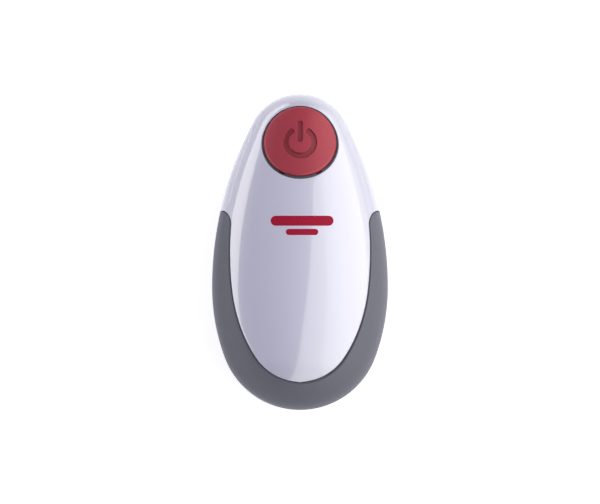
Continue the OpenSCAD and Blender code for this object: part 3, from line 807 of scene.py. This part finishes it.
wire_steel = Finish("drawn_spring_steel", (0.60, 0.61, 0.63), 0.25, Metallic=1.0)
wire_steel.speckle(wire_steel.grain(1400.0, 4.0), (0.52, 0.53, 0.55), (0.68, 0.69, 0.71))
wire_steel.set("Roughness", wire_steel.grain(2600.0, 4.0) * 0.2 + 0.14)
SPRING_TURNS, SPRING_RADIUS, WIRE_RADIUS, SPRING_FOOT, SPRING_HEIGHT = 5, 5.2, 0.45, -13.15, 10.5
bpy.ops.object.select_all(action="DESELECT")
bpy.ops.mesh.primitive_circle_add(vertices=12, radius=WIRE_RADIUS * MM, rotation=(pi / 2, 0, 0),
                                  location=(SPRING_RADIUS * MM, 0, WIRE_RADIUS * MM))
bpy.ops.object.transform_apply(location=True, rotation=True, scale=True)
apply_modifier("SCREW", angle=2 * pi * SPRING_TURNS, steps=SPRING_TURNS * 32, use_smooth_shade=True,
               screw_offset=(SPRING_HEIGHT - 2 * WIRE_RADIUS) * MM, axis="Z", use_normal_calculate=True)
bpy.ops.object.mode_set(mode="EDIT")
bpy.ops.mesh.select_all(action="DESELECT")
bpy.ops.mesh.select_mode(type="EDGE")
bpy.ops.mesh.select_non_manifold()
bpy.ops.mesh.fill_holes(sides=0)
bpy.ops.mesh.select_all(action="SELECT")
bpy.ops.mesh.normals_make_consistent(inside=False)
bpy.ops.object.mode_set(mode="OBJECT")
spring = bpy.context.object
spring.location = (BUTTON_AT + SPRING_FOOT * BUTTON_AXIS) * MM
spring.rotation_euler = (-BUTTON_LEAN, 0, 0)
bpy.ops.object.transform_apply(location=True, rotation=True, scale=True)
as_made("press_spring", "housing", "spring_steel", wire_steel.material, "button_spring")
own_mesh(spring)

# ---------------------------------------------------------------- nose guard
# The grey skirt under the nose that keeps the can's rim in line, moulded with
# softened edges.
def softened(node, name, body, slot, material, width, angle=50):
    """A frame piece with its sharp edges rounded over, as moulding or tumbling leaves them."""
    data = nodes[node].data.copy()
    piece = bpy.data.objects.new(name, data)
    bpy.context.scene.collection.objects.link(piece)
    mesh = bmesh.new()
    mesh.from_mesh(data)
    bmesh.ops.remove_doubles(mesh, verts=mesh.verts, dist=1e-6)
    bmesh.ops.dissolve_limit(mesh, angle_limit=radians(1), verts=mesh.verts, edges=mesh.edges)
    mesh.to_mesh(data)
    mesh.free()
    bpy.ops.object.select_all(action="DESELECT")
    piece.select_set(True)
    bpy.context.view_layer.objects.active = piece
    apply_modifier("BEVEL", width=width * MM, segments=3, limit_method="ANGLE", angle_limit=radians(angle))
    bpy.ops.object.shade_smooth_by_angle(angle=radians(35))
    return as_made(name, body, slot, material, node)


softened("nose_guard", "nose_skirt", "housing", "grey_satin", grey.material, 0.45)

# ---------------------------------------------------------------- feet
# Two press-in rubber feet. Each has a rounded edge, a shallow dish and a ring
# round it, so that it grips the table.
rubber = Finish("black_rubber", (0.02, 0.02, 0.02), 0.75)
rubber.speckle(rubber.grain(900.0, 4.0), (0.014, 0.014, 0.015), (0.032, 0.032, 0.034))
rubber.set("Roughness", rubber.grain(2000.0) * 0.15 + 0.65)
rubber.bump(rubber.grain(1500.0), 0.05 * MM)
for node in ("foot_left", "foot_right"):
    low, high = (Vector(c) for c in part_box(node))
    bpy.ops.object.select_all(action="DESELECT")
    bpy.ops.mesh.primitive_cylinder_add(vertices=64, radius=(high.x - low.x) / 2, depth=high.z - low.z,
                                        location=(low + high) / 2)
    bpy.ops.object.transform_apply(location=True, rotation=True, scale=True)
    bpy.ops.object.mode_set(mode="EDIT")
    bpy.ops.mesh.select_mode(type="FACE")
    bpy.ops.mesh.select_all(action="DESELECT")
    bpy.ops.object.mode_set(mode="OBJECT")
    for face in bpy.context.object.data.polygons:
        face.select = face.normal.z < -0.9
    bpy.ops.object.mode_set(mode="EDIT")
    bpy.ops.mesh.inset(thickness=1.3 * MM)
    bpy.ops.mesh.inset(thickness=0.25 * MM)
    bpy.ops.transform.translate(value=(0, 0, 0.35 * MM))
    bpy.ops.object.mode_set(mode="OBJECT")
    apply_modifier("BEVEL", width=0.3 * MM, segments=3, limit_method="ANGLE", angle_limit=radians(40))
    bpy.ops.object.shade_smooth_by_angle(angle=radians(35))
    as_made("rubber_" + node, "housing", "rubber_black", rubber.material, node)

# ---------------------------------------------------------------- print
# Two plain red bars, pad-printed on the crown behind the button.
ink = Finish("red_ink", (0.50, 0.004, 0.035), 0.6, Specular_IOR_Level=0.1)
ink.set("Roughness", ink.grain(1500.0) * 0.1 + 0.55)


def printed_bar(left, right, low, high, proud=0.035, sunk_in=0.01):
    """A bar with round ends that follows the crown, in millimetres."""
    mesh = bmesh.new()
    cells = 40
    radius = (high - low) / 2
    rings = []
    for i in range(cells + 1):
        x = left + (right - left) * (1 - cos(pi * i / cells)) / 2
        reach = min(x - left, right - x, radius)
        half = sqrt(max(radius ** 2 - (radius - reach) ** 2, 1e-4))
        row = []
        for y in np.linspace((low + high) / 2 - half, (low + high) / 2 + half, 7):
            z = BASE + FLAT * sqrt(float(width_at(np.array(y), 0)) ** 2 - x * x)
            row.append([mesh.verts.new(np.array((x, y, z + up)) * MM) for up in (proud, -sunk_in)])
        rings.append(row)
    for a, b in zip(rings, rings[1:]):
        for k in range(6):
            for side, flip in ((0, False), (1, True)):
                face = [a[k][side], b[k][side], b[k + 1][side], a[k + 1][side]]
                mesh.faces.new(reversed(face) if flip else face)
        mesh.faces.new([a[0][1], b[0][1], b[0][0], a[0][0]])
        mesh.faces.new([a[6][0], b[6][0], b[6][1], a[6][1]])
    for row, flip in ((rings[0], False), (rings[-1], True)):
        for k in range(6):
            face = [row[k][0], row[k + 1][0], row[k + 1][1], row[k][1]]
            mesh.faces.new(reversed(face) if flip else face)
    data = bpy.data.meshes.new("printed_bars")
    mesh.to_mesh(data)
    mesh.free()
    return data


for number, corners in enumerate(((-17, 19.4, 15.2, 21.0), (-8.2, 10.6, 9.8, 13.4))):
    bar = bpy.data.objects.new("printed_bar_%d" % (number + 1), printed_bar(*corners))
    bpy.context.scene.collection.objects.link(bar)
    bar.data.materials.append(ink.material)
    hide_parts("upper_housing")
    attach(bar, "housing")

# ---------------------------------------------------------------- switch
# A snap-action microswitch in a black case on a moulded bridge under the
# button, with its small red-brown plunger.
case = Finish("switch_case", (0.03, 0.03, 0.032), 0.35)
case.speckle(case.grain(1700.0), (0.022, 0.022, 0.024), (0.045, 0.045, 0.048))
case.set("Roughness", case.grain(2400.0) * 0.12 + 0.3)
case.bump(case.grain(4200.0), 0.015 * MM, 0.4)
case.on("microswitch_body")
dark.on("switch_bracket")
red.on("switch_plunger")

# ---------------------------------------------------------------- motor
# A small brushed DC motor: a drawn, zinc-plated can, a nylon end cap with two
# brass tabs, a steel rotor shaft and a brass pinion pressed on it.
plated = Finish("zinc_plated_steel", (0.62, 0.64, 0.67), 0.3, Metallic=1.0)
plated.speckle(plated.grain(160.0, 5.0), (0.54, 0.56, 0.60), (0.70, 0.71, 0.72))
plated.set("Roughness", plated.grain(700.0, 4.0, (10, 1, 10)) * 0.22 + 0.2)
plated.on("motor_can", "motor_screws", "contact_plates", "plate_screws", "rim_plate_screws")

acetal = Finish("moulded_acetal", (0.83, 0.80, 0.70), 0.4, Subsurface_Weight=0.1)
acetal.speckle(acetal.grain(500.0), (0.79, 0.76, 0.66), (0.86, 0.83, 0.74))
acetal.set("Roughness", acetal.grain(700.0) * 0.15 + 0.35)
acetal.bump(acetal.grain(3000.0), 0.012 * MM, 0.3)
acetal.on("motor_end_cap")

brass = Finish("turned_brass", (0.78, 0.58, 0.28), 0.3, Metallic=1.0)
brass.speckle(brass.grain(300.0, 4.0), (0.70, 0.50, 0.22), (0.82, 0.63, 0.33))
brass.set("Roughness", brass.grain(900.0, 4.0, (1, 1, 14)) * 0.2 + 0.18)
brass.on("motor_pinion", "motor_terminals")

steel = Finish("turned_steel", (0.62, 0.63, 0.65), 0.28, Metallic=1.0)
steel.speckle(steel.grain(420.0, 4.0), (0.56, 0.57, 0.59), (0.67, 0.68, 0.70))
steel.set("Roughness", steel.grain(800.0, 4.0, (1, 1, 12)) * 0.25 + 0.16)
steel.on("motor_rotor")

# ---------------------------------------------------------------- gear train
# Three moulded double gears on steel pins between two stamped plates bring the
# motor's speed down to the drive shaft, which runs in brass bushes.
acetal.on("gear_1", "gear_2", "gear_3", "drive_gear", "cutter_gear")
steel.on("gear_axle_1", "gear_axle_2", "gear_axle_3", "spacer_posts", "drive_shaft")
brass.on("lower_drive_bush", "upper_drive_bush")

brushed = Finish("brushed_plate", (0.70, 0.71, 0.72), 0.3, Metallic=1.0)
brushed.speckle(brushed.grain(500.0, 4.0, (14, 1, 1)), (0.63, 0.64, 0.66), (0.76, 0.77, 0.78))
brushed.set("Roughness", brushed.grain(600.0, 4.0, (12, 1, 1)) * 0.25 + 0.2)
brushed.bump(brushed.grain(900.0, 3.0, (14, 1, 1)), 0.01 * MM)
brushed.on("lower_gear_plate", "upper_gear_plate")

# ---------------------------------------------------------------- cutting head
# The toothed drive wheel grips under the can's rim while the hardened cutting
# wheel on its swinging carrier bites into the side. All of it is stainless.
hardened = Finish("hardened_stainless", (0.58, 0.59, 0.61), 0.22, Metallic=1.0)
hardened.speckle(hardened.grain(260.0, 5.0), (0.50, 0.51, 0.53), (0.66, 0.67, 0.69))
hardened.set("Roughness", hardened.grain(1300.0, 4.0, (1, 1, 10)) * 0.2 + 0.12)
hardened.bump(hardened.grain(1500.0, 3.0, (1, 1, 12)), 0.006 * MM)
hardened.on("drive_wheel", "drive_nut", "cutter_wheel", "cutter_carrier", "cutter_bolt", "carrier_stops")
wire_steel.on("clutch_spring_washer", "carrier_clip")
softened("rim_plate", "rim_rest_plate", "housing", "stainless", brushed.material, 0.15)

# ---------------------------------------------------------------- lid magnet
# A nickel-plated ferrite disc in a grey moulded cup lifts the lid off the can.
nickel = Finish("nickel_plating", (0.66, 0.64, 0.60), 0.18, Metallic=1.0)
nickel.speckle(nickel.grain(240.0, 5.0), (0.60, 0.58, 0.54), (0.71, 0.69, 0.65))
nickel.set("Roughness", nickel.grain(1600.0, 4.0) * 0.16 + 0.1)
softened("magnet", "lid_magnet", "housing", "magnet_plated", nickel.material, 0.3)
softened("magnet_holder", "magnet_cup", "housing", "grey_satin", grey.material, 0.25)

# ---------------------------------------------------------------- battery bay
# A black tray holds four AA cells side by side, every other one turned round.
# Coil springs touch their flat ends and plated plates their caps.
dark.on("battery_tray")
wire_steel.on("contact_springs")

CELL_RADIUS, CELL_LENGTH, CELL_PITCH, CELL_RIM = 7.1, 49.2, 15, 0.9
CAP_RADIUS, CAP_LENGTH = 2.7, 1.3
can_end = Finish("cell_can", (0.68, 0.68, 0.67), 0.25, Metallic=1.0)
can_end.set("Roughness", can_end.grain(1200.0) * 0.15 + 0.16)
for number in range(4):
    node = "battery_%d" % (number + 1)
    turn_round = 1 if number % 2 == 0 else -1
    centre = ((number - 1.5) * CELL_PITCH, -46 - 0.65 * turn_round, 19.2)
    sleeve = Finish("cell_jacket_%d" % (number + 1), (0.03, 0.06, 0.12), 0.25, Coat_Weight=0.4)
    lengthwise = sleeve.node("SeparateXYZ", out=1, Vector=sleeve.place()) * (turn_round / MM)
    # the gold third of the sleeve marks the plus end
    band_at = turn_round * centre[1] + 9.0
    band = sleeve.node("MapRange", {"interpolation_type": "SMOOTHSTEP"}, Value=lengthwise,
                       From_Min=band_at - 0.15, From_Max=band_at + 0.15)
    sleeve.speckle(band, (0.022, 0.035, 0.06), (0.60, 0.36, 0.13))
    sleeve.set("Roughness", sleeve.grain(300.0) * 0.1 + 0.2)
    bpy.ops.object.select_all(action="DESELECT")
    bpy.ops.mesh.primitive_cylinder_add(vertices=64, radius=CELL_RADIUS * MM, depth=CELL_LENGTH * MM)
    cell = bpy.context.object
    cell.data.materials.append(sleeve.material)
    cell.data.materials.append(can_end.material)
    for face in cell.data.polygons:
        face.select = abs(face.normal.z) > 0.9
    bpy.ops.object.mode_set(mode="EDIT")
    bpy.ops.mesh.select_mode(type="FACE")
    bpy.ops.mesh.inset(thickness=CELL_RIM * MM, use_individual=True)
    cell.active_material_index = 1
    bpy.ops.object.material_slot_assign()
    bpy.ops.mesh.select_all(action="DESELECT")
    bpy.ops.object.mode_set(mode="OBJECT")
    for face in cell.data.polygons:
        face.select = face.normal.z > 0.9 and len(face.vertices) > 4
    bpy.ops.object.mode_set(mode="EDIT")
    bpy.ops.mesh.inset(thickness=(CELL_RADIUS - CELL_RIM - CAP_RADIUS) * MM)
    bpy.ops.mesh.extrude_region_move(TRANSFORM_OT_translate={"value": (0, 0, CAP_LENGTH * MM)})
    bpy.ops.object.mode_set(mode="OBJECT")
    apply_modifier("BEVEL", width=0.35 * MM, segments=3, limit_method="ANGLE", angle_limit=radians(40))
    bpy.ops.object.shade_smooth_by_angle(angle=radians(35))
    cell.location = [c * MM for c in centre]
    cell.rotation_euler = (-turn_round * pi / 2, 0, 0)
    bpy.ops.object.transform_apply(location=True, rotation=True, scale=True)
    cell.name = cell.data.name = "cell_%d" % (number + 1)
    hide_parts(node)
    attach(cell, "housing")

# ---------------------------------------------------------------- wiring
# Three stranded leads in PVC sleeves join the cells, the switch and the motor.
for name, colour in (("red", (0.5, 0.02, 0.02)), ("black", (0.02, 0.02, 0.02)), ("blue", (0.02, 0.06, 0.35))):
    lead = Finish("wire_sleeve_" + name, colour, 0.4)
    lead.speckle(lead.grain(600.0), tuple(0.85 * c for c in colour), tuple(1.1 * c for c in colour))
    lead.set("Roughness", lead.grain(800.0) * 0.1 + 0.35)
    lead.on("wire_" + name)

# ---------------------------------------------------------------- screws
# Four self-tapping screws, black-zinc plated, hold the two housings together.
screw_plating = Finish("black_zinc", (0.12, 0.12, 0.13), 0.35, Metallic=1.0)
screw_plating.speckle(screw_plating.grain(500.0, 4.0), (0.08, 0.08, 0.09), (0.17, 0.17, 0.18))
screw_plating.set("Roughness", screw_plating.grain(1300.0) * 0.2 + 0.25)
screw_plating.on("housing_screws")
